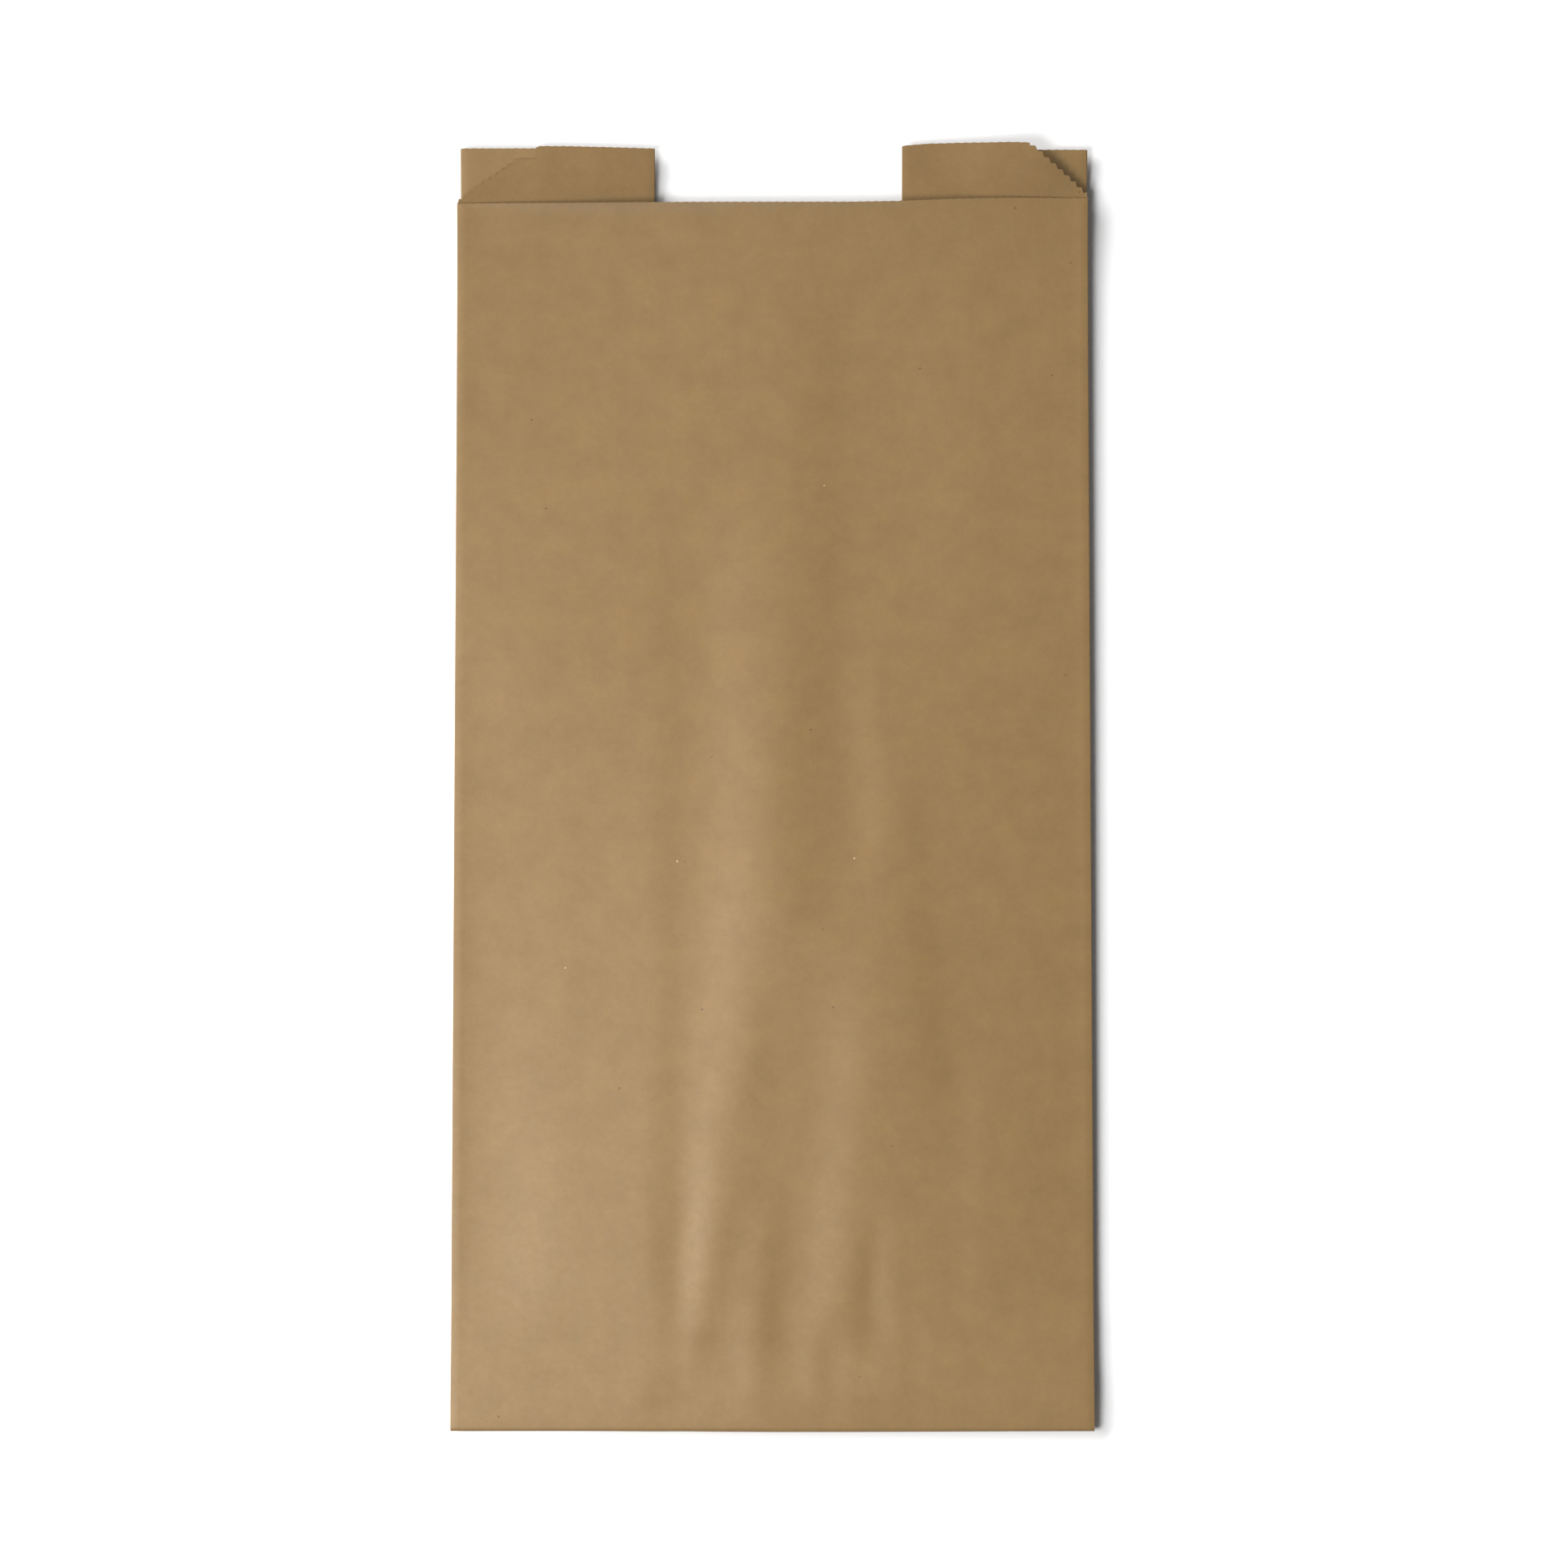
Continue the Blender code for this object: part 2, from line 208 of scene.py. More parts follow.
# Long soft streaks where the plain face tilts. Each point is the place in the photograph's pixels,
# the half width of the streak in millimetres, and the tilt, positive where the paper faces left.
STREAKS = {
    "main ridge, left flank": (
        (900, 560, 9, 0.0), (900, 700, 10, 0.07), (902, 860, 10, 0.12), (902, 1000, 10, 0.13),
        (900, 1100, 10, 0.14), (890, 1200, 9, 0.13), (876, 1300, 8, 0.10), (864, 1400, 5.5, 0.10),
        (855, 1500, 3.5, 0.19), (848, 1560, 3, 0.17), (844, 1620, 3.5, 0.09), (842, 1670, 4, 0.0),
    ),
    "beside the left gusset fold": (
        (812, 540, 4, 0.0), (820, 700, 4, -0.03), (822, 860, 5, -0.04), (820, 1050, 5, -0.06),
        (822, 1200, 4, -0.07), (818, 1350, 4.5, -0.08), (816, 1450, 5, -0.10),
        (814, 1550, 5, -0.11), (818, 1620, 4, -0.08), (822, 1665, 3, -0.06),
        (822, 1710, 3, -0.06), (822, 1750, 3, -0.03),
    ),
    "crease at the left gusset fold's end": (
        (798, 1640, 2, 0.0), (798, 1680, 2, -0.06), (797, 1720, 2, -0.09), (797, 1750, 2, 0.0),
    ),
    "valley on the upper half": (
        (1010, 260, 8, 0.0), (1014, 400, 8, -0.06), (1012, 600, 8, -0.07), (1008, 780, 8, -0.08),
        (1000, 900, 8, -0.08), (990, 1040, 8, -0.07), (984, 1110, 6, -0.07), (982, 1160, 5, 0.0),
    ),
    "sharp left side of that valley": (
        (976, 330, 1.6, 0.0), (976, 430, 1.6, -0.04), (974, 700, 1.6, -0.04),
        (968, 960, 1.8, -0.05), (964, 1080, 2, 0.0),
    ),
    "main ridge, right flank": (
        (950, 1180, 5, 0.0), (940, 1260, 6, -0.04), (932, 1350, 7, -0.06), (920, 1430, 8, -0.06),
        (898, 1500, 4, -0.08), (888, 1550, 3.5, -0.08), (876, 1610, 3, -0.10),
        (862, 1655, 3.5, -0.08), (858, 1700, 3, 0.0),
    ),
    "dip before the second ridge": (
        (955, 1440, 3, 0.0), (952, 1500, 3.5, -0.08), (948, 1560, 4, -0.12), (944, 1620, 4, -0.14),
        (942, 1670, 3.5, -0.09), (944, 1720, 3, 0.0),
    ),
    "second ridge, left flank": (
        (1044, 1130, 7, 0.0), (1040, 1200, 8, 0.06), (1036, 1270, 8, 0.11), (1030, 1350, 7, 0.12),
        (1022, 1440, 7, 0.13), (1014, 1520, 7.5, 0.13), (1004, 1590, 7, 0.10), (984, 1635, 4, 0.08),
        (990, 1690, 3.5, 0.08), (992, 1735, 3, 0.0),
    ),
    "light patch at the middle": (
        (1044, 780, 6, 0.0), (1054, 870, 5, 0.07), (1066, 960, 5.5, 0.08), (1068, 1020, 5, 0.08),
        (1062, 1100, 5, 0.04), (1060, 1160, 5, 0.0),
    ),
    "beside the right gusset fold": (
        (1122, 940, 4, 0.0), (1126, 1080, 5, -0.06), (1132, 1170, 6, -0.07), (1144, 1250, 6, -0.08),
        (1144, 1330, 6, -0.06), (1138, 1440, 5, 0.0),
    ),
    "third ridge, left flank": (
        (1086, 1440, 3, 0.0), (1084, 1510, 3, 0.07), (1078, 1570, 2.6, 0.18), (1084, 1620, 3, 0.10),
        (1090, 1670, 3, 0.04), (1094, 1710, 3, 0.0),
    ),
    "dip before the third ridge": (
        (1064, 1480, 3, 0.0), (1060, 1550, 3, -0.08), (1054, 1610, 3.5, -0.09),
        (1052, 1670, 3, -0.03), (1050, 1700, 3, 0.0),
    ),
    "faint light on the right": (
        (1190, 1270, 4, 0.0), (1190, 1370, 3.5, 0.06), (1186, 1450, 4, 0.05), (1188, 1550, 4, 0.05),
        (1182, 1630, 4, 0.0),
    ),
    "faint light high on the right": (
        (1146, 330, 6, 0.0), (1146, 500, 7, 0.03), (1152, 720, 7, 0.03), (1150, 870, 6, 0.0),
    ),
    "broad light on the left": (
        (620, 720, 12, 0.0), (612, 820, 9, 0.04), (640, 1000, 14, 0.02), (640, 1300, 13, 0.05),
        (646, 1480, 12, 0.09), (646, 1570, 11, 0.08), (624, 1650, 9, 0.0),
    ),
    "broad swell, left flank": (
        (790, 800, 30, 0.0), (800, 1000, 34, 0.06), (810, 1200, 36, 0.08), (810, 1400, 36, 0.09),
        (820, 1550, 36, 0.07), (820, 1700, 34, 0.04), (820, 1752, 34, 0.02),
    ),
    "left edge turned up near the mouth": (
        (630, 246, 27, -0.04), (630, 400, 27, -0.04), (625, 520, 25, -0.03), (620, 640, 22, 0.0),
    ),
    "left edge turned up": (
        (563, 840, 4, 0.0), (563, 960, 4, -0.05), (562, 1300, 4, -0.07), (561, 1540, 3.5, -0.06),
        (558, 1640, 3.5, -0.03), (558, 1690, 3, 0.0),
    ),
    "left fold's bend near the mouth": (
        (566, 252, 6, -0.05), (566, 400, 6, -0.05), (565, 560, 6, -0.05), (564, 700, 5, 0.0),
    ),
    "right fold's crisp bend": (
        (1338, 252, 3.5, 0.08), (1338, 600, 3.5, 0.08), (1335, 1000, 3.5, 0.06),
        (1333, 1300, 3.5, 0.06), (1330, 1560, 3.5, 0.03), (1329, 1640, 3.5, 0.0),
    ),
    "pucker left of the middle": (
        (914, 1580, 3, 0.0), (912, 1640, 3.5, 0.07), (912, 1690, 3.5, 0.07), (904, 1745, 3, 0.0),
    ),
    "pucker under the second ridge": (
        (1008, 1650, 2, 0.0), (1007, 1695, 1.8, -0.09), (1008, 1740, 2, 0.0),
    ),
    "pucker right of the second ridge": (
        (1036, 1620, 3, 0.0), (1034, 1660, 3, 0.08), (1030, 1720, 3, 0.05), (1030, 1750, 3, 0.0),
    ),
    "small pucker": ((1063, 1655, 2, 0.0), (1062, 1682, 1.8, 0.09), (1064, 1705, 2, 0.0)),
    "crease at the right gusset fold's end": (
        (1114, 1620, 2, 0.0), (1114, 1660, 2, -0.05), (1112, 1720, 2, -0.05), (1112, 1750, 2, 0.0),
    ),
    "pucker by the right fold": (
        (1134, 1600, 2, 0.0), (1131, 1650, 2, 0.06), (1128, 1700, 2, 0.0),
    ),
}
STREAK_CELL = 0.5 * MM  # the grid that the streaks are added up on, across and along the face
STREAK_ROW = 1.0 * MM
LAST_CELL = 1.001  # keeps a place on the grid's last line inside its last cell


def ease(t):
    """0 up to t = 0 and 1 from t = 1, level at both ends."""
    t = np.clip(t, 0.0, 1.0)
    return t * t * (3 - 2 * t)


def mix(a, b, t):
    return a + (b - a) * t


def opened(pressed, free, run, v):
    """A ply's height, from pressed at the end fold to free once it is a run away."""
    return mix(pressed, free, 1 - (1 - np.clip(v / run, 0, 1)) ** 2)


class Side:
    """One side of the bag: its folds, as distances from the middle and as places in the blank."""

    def __init__(self, sizes, sign):
        right = sign > 0
        half = sizes.width / 2
        self.sign = sign
        self.inner = half - sizes.gusset + sign * sizes.slip
        self.inset = 0.0 if right else sizes.inset
        self.gusset_u = half + half - self.inner
        self.strip_u = self.gusset_u + half - self.inset - self.inner
        self.strip_edge = self.inner + sizes.tuck
        self.end_u = self.strip_u + half - self.inset - self.strip_edge
        self.corner_u = half + sizes.corner_in
        self.shoulder_u = self.corner_u + (sizes.right_shoulder if right else sizes.left_shoulder)


class Bag:
    """The sizes worked out from the two groups of properties, and the folded bag's shape."""

    def __init__(self, sizes, lie):
        self.sizes = sizes
        self.lie = lie
        self.half = sizes.width / 2
        self.film_half = self.half - sizes.gusset + sizes.film_lap
        # From the end fold's axis out to its outer face, and down to the table
        self.reach = lie.end_radius + PRESSED_FACE + CAD_PAPER / 2
        self.fold_y = PAPER_LOW.y + self.reach
        self.face_v = sizes.bag_length - sizes.lip - self.reach
        self.lip_v = self.face_v + sizes.lip
        self.flap_run = sizes.flap - self.reach
        self.blank = self.face_v + END_TURN + self.flap_run
        self.left = Side(sizes, -1)
        self.right = Side(sizes, 1)
        self.relief = self.face_relief()

    def side(self, u):
        return self.left if u < 0 else self.right

    def photo_place(self, across, along):
        """Where on the plain face a pixel of the photograph lies: x, and v along the blank."""
        share = (PHOTO_END - along) / (PHOTO_END - PHOTO_MOUTH)
        pixels = mix(PHOTO_END_WIDTH, PHOTO_MOUTH_WIDTH, share)
        x = (across - PHOTO_MIDDLE) / pixels * self.sizes.width
        return x, share * (self.face_v + self.reach) - self.reach

    def face_relief(self):
        """Heights of the streaks on a fine grid: their tilts added up from side to side."""
        self.grid_x = np.arange(-self.half, self.half + STREAK_CELL / 2, STREAK_CELL)
        self.grid_v = np.arange(0, self.face_v + STREAK_CELL, STREAK_ROW)
        tilt = np.zeros((len(self.grid_v), len(self.grid_x)))
        for points in STREAKS.values():
            places = [self.photo_place(p[0], p[1]) for p in points]
            order = np.argsort([v for _, v in places])
            at = [places[i][1] for i in order]
            middle = np.interp(self.grid_v, at, [places[i][0] for i in order])
            width = np.interp(self.grid_v, at, [points[i][2] * MM for i in order])
            steep = np.interp(self.grid_v, at, [points[i][3] for i in order], left=0, right=0)
            off = (self.grid_x[None, :] - middle[:, None]) / width[:, None]
            tilt += steep[:, None] * np.exp(-off * off)
        height = np.cumsum(tilt, axis=1) * STREAK_CELL
        across = np.linspace(0, 1, len(self.grid_x))
        height -= height[:, :1] + (height[:, -1:] - height[:, :1]) * across
        return height

    def relief_at(self, x, v):
        """Height of the streaks, which fade out round the end fold."""
        col = np.clip((x - self.grid_x[0]) / STREAK_CELL, 0, len(self.grid_x) - LAST_CELL)
        row = np.clip(v / STREAK_ROW, 0, len(self.grid_v) - LAST_CELL)
        i, j = col.astype(int), row.astype(int)
        fx, fv = col - i, row - j
        low = mix(self.relief[j, i], self.relief[j, i + 1], fx)
        high = mix(self.relief[j + 1, i], self.relief[j + 1, i + 1], fx)
        return mix(low, high, fv) * ease(1 + v / END_TURN)

    def curl(self, x, v):
        """How far the plies lift towards the mouth, and less at its right."""
        lie = self.lie
        near_mouth = np.clip((v - self.face_v + lie.curl_length) / lie.curl_length, 0, None) ** 2
        near_edge = ease((x - self.half + lie.curl_width) / lie.curl_width)
        return (lie.mouth_lift - lie.corner_hold * near_edge) * near_mouth

    def face_height(self, x, v):
        """Plain face: arched from fold to fold, with its curl and its streaks."""
        lie = self.lie
        arch = 1 - (np.abs(x) / self.half) ** 2
        crest = mix(lie.face_rise, lie.mouth_rise, ease(v / self.face_v))
        edge_run = np.where(x < 0, lie.rise_length, lie.edge_run)
        edge = opened(PRESSED_FACE, lie.edge_rise, edge_run, v)
        middle = opened(PRESSED_FACE, crest, lie.rise_length, v)
        return mix(edge, middle, arch) + self.curl(x, v) + self.relief_at(x, v)

    def upper_height(self, x, v):
        """Upper ply of a gusset: under the plain face, and past its mouth the front of the lip."""
        lie = self.lie
        inner = np.where(x < 0, self.left.inner, self.right.inner)
        share = (np.abs(x) - inner) / (self.half - inner)
        near_mouth = ease((v - self.face_v + lie.curl_length) / lie.curl_length)
        inner_gap = mix(lie.gusset_gap, lie.left_lip_gap, near_mouth)
        middle = opened(PRESSED_UPPER, PRESSED_LOWER + inner_gap, lie.rise_length, v)
        edge_run = np.where(x < 0, lie.rise_length, lie.edge_run)
        edge = opened(PRESSED_UPPER, lie.edge_rise - lie.edge_gap, edge_run, v)
        under = mix(middle, edge + self.curl(x, v), share)
        widened = ease(share * LIP_GAP_REACH) ** LIP_GAP_BEND
        right_gap = mix(lie.left_lip_gap, lie.right_lip_gap, widened)
        lip_gap = np.where(x < 0, lie.left_lip_gap, right_gap)
        return mix(under, PRESSED_LOWER + lip_gap, ease((v - self.face_v) / self.sizes.lip))

    def lower_height(self, x, v):
        return np.full_like(x, PRESSED_LOWER)

    def strip_height(self, x, v):
        return np.zeros_like(x)

    def film_height(self, x, v):
        """Film: glued to the strips, and hanging a little between them past the flap."""
        lie = self.lie
        past_flap = ease((v - self.flap_run - lie.settle) / lie.rise_length)
        off_strip = ease((self.half - self.sizes.gusset - np.abs(x)) / lie.sag_width)
        return PRESSED_FILM - lie.film_sag * past_flap * off_strip

    def side_section(self, side, across, v):
        """Distance from the middle and height above the strips, on one side of the bag."""
        face, upper, lower, strip = (
            self.face_height, self.upper_height, self.lower_height, self.strip_height
        )
        low_edge = self.half - side.inset * ease(v / self.face_v)
        turns = (
            (self.half, np.full_like(v, self.half), 1, face, upper),
            (side.gusset_u, np.full_like(v, side.inner), -1, upper, lower),
            (side.strip_u, low_edge, 1, lower, strip),
        )
        radii = [
            np.abs(above(side.sign * tip, v) - below(side.sign * tip, v)) / 2
            for _, tip, _, above, below in turns
        ]
        edge = SIDE_TURN / 2
        bounds = [-edge, self.half, side.gusset_u, side.strip_u, side.end_u + edge]
        ends = [np.zeros_like(v)]
        for (_, tip, outward, _, _), radius in zip(turns, radii):
            ends.append(tip - outward * radius)
        ends.append(np.full_like(v, side.strip_edge))
        x = np.zeros_like(across)
        height = np.zeros_like(across)
        for i, ply in enumerate((face, upper, lower, strip)):
            low, high = bounds[i] + edge, bounds[i + 1] - edge
            on = (across >= low - ROUNDING) & (across <= high + ROUNDING)
            at = mix(ends[i], ends[i + 1], (across - low) / (high - low))
            x = np.where(on, at, x)
            height = np.where(on, ply(side.sign * at, v), height)
        for (fold_u, tip, outward, first, second), radius in zip(turns, radii):
            on = np.abs(across - fold_u) < edge
            angle = math.pi * ((across - fold_u) / SIDE_TURN + 0.5)
            a, b = first(side.sign * tip, v), second(side.sign * tip, v)
            x = np.where(on, tip - outward * radius * (1 - np.sin(angle)), x)
            height = np.where(on, mix(a, b, (1 - np.cos(angle)) / 2), height)
        return x, height

    def section(self, u, v):
        """Place across the bag and height above the strips of each blank place."""
        left_x, left_height = self.side_section(self.left, np.abs(u), v)
        right_x, right_height = self.side_section(self.right, np.abs(u), v)
        return np.where(u < 0, -left_x, right_x), np.where(u < 0, left_height, right_height)

    def strip_level(self, v):
        """Middle of the strips above the table: on the flap, then down past its end."""
        flap_ply = CAD_PAPER + FILM_GAP
        rest_of_stack = PRESSED_FACE + 2 * self.lie.end_radius - flap_ply
        inner_end = self.flap_run - self.sizes.lip
        off_stack = ease((v - inner_end) / (self.flap_run - inner_end))
        off_flap = ease((v - self.flap_run) / self.lie.settle)
        lip = np.clip((v - self.lip_v + self.lie.lip_run) / self.lie.lip_run, 0, None) ** 2
        level = CAD_PAPER / 2 + self.lie.lip_lift * lip
        return level + rest_of_stack * (1 - off_stack) + flap_ply * (1 - off_flap)

    def end_folded(self, x, height, v):
        """Bends the flattened tube round the end fold and lays it on the table."""
        radius = self.lie.end_radius + height
        angle = np.clip(math.pi * -v / END_TURN, 0, math.pi)
        past = np.maximum(-v - END_TURN, 0)
        y = self.fold_y + np.maximum(v, 0) - radius * np.sin(angle) + past
        z = np.where(v >= 0, self.strip_level(v) + height, self.reach + radius * np.cos(angle))
        inward = np.clip(np.maximum(v, past) / self.lie.end_run, 0, 1)
        return np.stack([x, y, z + self.lie.end_lift * (1 - inward) ** 2], axis=1)

    def skewed(self, u, v):
        """Places along the blank, with the mouth end cut out of square."""
        across, reach = np.array(MOUTH_SKEW).T * MM
        past = v - self.face_v
        cut = np.where(u < 0, LEFT_CORNER_TOP, RIGHT_CORNER_TOP)
        low, lip = self.sizes.corner_up, self.sizes.lip
        share = np.clip((past - low) / (lip - low), 0, 1)
        beyond = mix(cut, lip, share) + np.maximum(past - lip, 0)
        moved = np.where(past < low, past / low * cut, beyond)
        stood = np.where(past > 0, moved, past)
        return self.face_v + stood + np.interp(u, across, reach) * ease(past / SKEW_RUN + 1)

    def paper_place(self, u, v):
        x, height = self.section(u, v)
        return self.end_folded(x, height, self.skewed(u, v))

    def film_place(self, u, v):
        return self.end_folded(u, self.film_height(u, np.maximum(v, 0)), v)


def steps(start, stop, parts):
    return [mix(start, stop, i / parts) for i in range(parts + 1)]


def even_steps(start, stop, cell):
    return steps(start, stop, max(1, round(abs(stop - start) / cell)))


def joined(*runs):
    """Runs of places put end to end, with none twice."""
    places = sorted(p for run in runs for p in run)
    kept = places[:1]
    for place in places[1:]:
        if place - kept[-1] > ROUNDING:
            kept.append(place)
    return kept


def side_columns(bag, side):
    """Places across one side of the blank: a tooth's pitch apart, and closer round the folds."""
    s = bag.sizes
    edge = SIDE_TURN / 2
    folds = (bag.half, side.gusset_u, side.strip_u)
    turns = [steps(fold - edge, fold + edge, TURN_STEPS) for fold in folds]
    slant = [u for u in steps(bag.half, side.corner_u, CORNER_TEETH) if u > bag.half + edge]
    return joined(
        even_steps(0, bag.half - edge, s.tooth_pitch), *turns, slant,
        even_steps(side.corner_u, side.shoulder_u, s.tooth_pitch),
        even_steps(side.shoulder_u, side.gusset_u - edge, s.tooth_pitch),
        even_steps(side.gusset_u + edge, side.strip_u - edge, s.tooth_pitch),
        even_steps(side.strip_u + edge, side.end_u, s.tooth_pitch),
    )


def paper_columns(bag):
    left = side_columns(bag, bag.left)
    return [-u for u in left[:0:-1]] + side_columns(bag, bag.right)


def end_rows(bag):
    """Places along the blank round the end fold and in the flap."""
    inner_end = -END_TURN - bag.flap_run + bag.sizes.lip
    return joined(
        steps(-END_TURN, 0, END_STEPS),
        even_steps(inner_end, -END_TURN, bag.sizes.tooth_pitch),
    )


def cut_rows(bag, level):
    """Places along the blank through one cut, whose lower level is given."""
    s = bag.sizes
    return joined(steps(level, level + s.corner_up, CORNER_TEETH), [level + s.lip])


def paper_rows(bag):
    return joined(
        cut_rows(bag, bag.face_v - bag.blank),
        end_rows(bag),
        even_steps(0, bag.face_v, bag.sizes.tooth_pitch),
        cut_rows(bag, bag.face_v),
    )


def deselect_objects():
    bpy.ops.object.select_all(action="DESELECT")


def use_only(obj):
    deselect_objects()
    obj.select_set(True)
    bpy.context.view_layer.objects.active = obj


def add_blank(name, columns, rows):
    """A flat grid whose lines stand at these places across and along the sheet."""
    deselect_objects()
    across, along = len(columns) - 1, len(rows) - 1
    bpy.ops.mesh.primitive_grid_add(x_subdivisions=across, y_subdivisions=along, size=2)
    obj = bpy.context.object  # from -1 to 1 both ways, until its points are moved
    obj.name = name
    obj.data.name = name
    co = points_of(obj.data)
    i = np.rint((co[:, 0] + 1) / 2 * across).astype(int)
    j = np.rint((co[:, 1] + 1) / 2 * along).astype(int)
    co[:, 0] = np.array(columns)[i]
    co[:, 1] = np.array(rows)[j]
    set_points(obj.data, co)
    return obj


def points_of(mesh):
    co = np.empty(len(mesh.vertices) * 3)
    mesh.vertices.foreach_get("co", co)
    return co.reshape(-1, 3)


def set_points(mesh, co):
    mesh.vertices.foreach_set("co", np.ascontiguousarray(co).ravel())
    mesh.update()


def select_in_edit(obj, mode, wanted):
    """Enters edit mode and selects the faces or edges for which wanted is true."""
    use_only(obj)
    bpy.ops.object.mode_set(mode="EDIT")
    bpy.ops.mesh.select_mode(type=mode)
    bpy.ops.mesh.select_all(action="DESELECT")
    bm = bmesh.from_edit_mesh(obj.data)
    found = 0
    for item in bm.faces if mode == "FACE" else bm.edges:
        if wanted(item):
            item.select_set(True)
            found += 1
    bmesh.update_edit_mesh(obj.data)
    return found


def leave_edit():
    bpy.ops.object.mode_set(mode="OBJECT")


def cut_limits(bag, u):
    """Lowest and highest level that the cut has in the column of faces at u."""
    across = abs(u)
    side = bag.side(u)
    shoulder_v = bag.face_v + bag.sizes.corner_up
    if across < bag.half:
        return bag.face_v, bag.face_v
    if across < side.corner_u:
        return bag.face_v, shoulder_v
    if across < side.shoulder_u:
        return shoulder_v, shoulder_v
    return bag.lip_v, bag.lip_v


def trim_steps(obj, bag):
    """Deletes what lies past the stepped cut at the mouth, and past the same cut at the end."""

    def past_cut(face):
        u, v = face.calc_center_median().xy
        low, high = cut_limits(bag, u)
        return v > high or v < low - bag.blank

    select_in_edit(obj, "FACE", past_cut)
    bpy.ops.mesh.delete(type="FACE")
    leave_edit()


def trim_corner(obj, bag, side, level, keep_below):
    """Bisects the slanted corner on one side, through the corners of the grid's cells."""
    rise = bag.sizes.corner_up

    def in_corner(face):
        u, v = face.calc_center_median().xy
        return bag.half < side.sign * u < side.corner_u and level < v < level + rise

    select_in_edit(obj, "FACE", in_corner)
    normal = Vector((-side.sign * rise, side.corner_u - bag.half, 0))
    bpy.ops.mesh.bisect(
        plane_co=(side.sign * bag.half, level, 0), plane_no=normal, threshold=ROUNDING,
        clear_outer=keep_below, clear_inner=not keep_below, use_fill=False,
    )
    leave_edit()


def tooth_edges(bag):
    """A test for the free edges along the two cuts, and how deep a tooth each one carries."""
    s = bag.sizes
    edge = SIDE_TURN / 2

    def depth_at(item):
        if not item.is_boundary:
            return 0
        a, b = item.verts[0].co, item.verts[1].co
        if abs(a.x - b.x) < TOOTH_LEAST_ACROSS * s.tooth_pitch:
            return 0
        middle = (a + b) / 2
        side = bag.side(middle.x)
        folds = (bag.half, side.gusset_u, side.strip_u)
        if any(abs(abs(middle.x) - fold) < edge for fold in folds):
            return 0
        slanted = abs(a.y - b.y) > TOOTH_SLANT * s.tooth_pitch
        return s.tooth_depth if slanted else s.level_tooth

    return depth_at


def cut_teeth(obj, bag):
    """Divides each free edge of the cuts once, and draws the new point out as a tooth."""
    depth_at = tooth_edges(bag)
    select_in_edit(obj, "EDGE", lambda item: depth_at(item) > 0)
    bm = bmesh.from_edit_mesh(obj.data)
    teeth = []
    for item in bm.edges:
        if item.select:
            a, b = item.verts[0].co.copy(), item.verts[1].co.copy()
            face = item.link_faces[0].calc_center_median()
            along = (b - a).normalized()
            out = Vector((-along.y, along.x, 0))
            if (face - a).dot(out) > 0:
                out.negate()
            teeth.append(((a + b) / 2, out * depth_at(item)))
    bpy.ops.mesh.subdivide(number_cuts=1)
    leave_edit()
    co = points_of(obj.data)
    flat = co[:, :2]
    for middle, push in teeth:
        nearest = np.argmin(((flat - np.array(middle.xy)) ** 2).sum(axis=1))
        co[nearest] += np.array(push)
    set_points(obj.data, co)


def keep_sheet_place(obj):
    """Stores each point's place in the flat sheet, in metres, for patterns that follow it."""
    layer = obj.data.attributes.new("sheet_place", "FLOAT_VECTOR", "POINT")
    layer.data.foreach_set("vector", points_of(obj.data).ravel())


def apply_thickness(obj, thickness, inner_offset=0, rim_offset=0):
    """Thickens the sheet; the offsets pick the material slots of its inner side and its edges."""
    use_only(obj)
    wall = obj.modifiers.new("sheet thickness", "SOLIDIFY")
    wall.thickness = thickness
    wall.offset = 0
    wall.use_even_offset = True
    wall.material_offset = inner_offset
    wall.material_offset_rim = rim_offset
    bpy.ops.object.modifier_apply(modifier=wall.name)
    bpy.ops.object.shade_smooth_by_angle(angle=SMOOTH_ANGLE)


class BAG_OT_kraft_sheet(bpy.types.Operator):
    """Make the folded kraft paper sheet"""

    bl_idname = "bag.kraft_sheet"
    bl_label = "Kraft paper sheet"

    def execute(self, context):
        scene = context.scene
        bag = Bag(scene.bag_sizes, scene.bag_lie)
        obj = add_blank("folded_kraft_paper", paper_columns(bag), paper_rows(bag))
        trim_steps(obj, bag)
        for side in (bag.left, bag.right):
            trim_corner(obj, bag, side, bag.face_v, True)
            trim_corner(obj, bag, side, bag.face_v - bag.blank, False)
        cut_teeth(obj, bag)
        keep_sheet_place(obj)
        co = points_of(obj.data)
        set_points(obj.data, bag.paper_place(co[:, 0], co[:, 1]))
        finish = scene.bag_finish
        for material in (glazed_kraft(finish), rough_kraft(finish), cut_kraft_and_highlight(finish)):
            obj.data.materials.append(material)
        apply_thickness(obj, bag.sizes.paper, inner_offset=1, rim_offset=2)
        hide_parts("kraft_paper_sheet")
        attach(obj, "root")
        return {"FINISHED"}


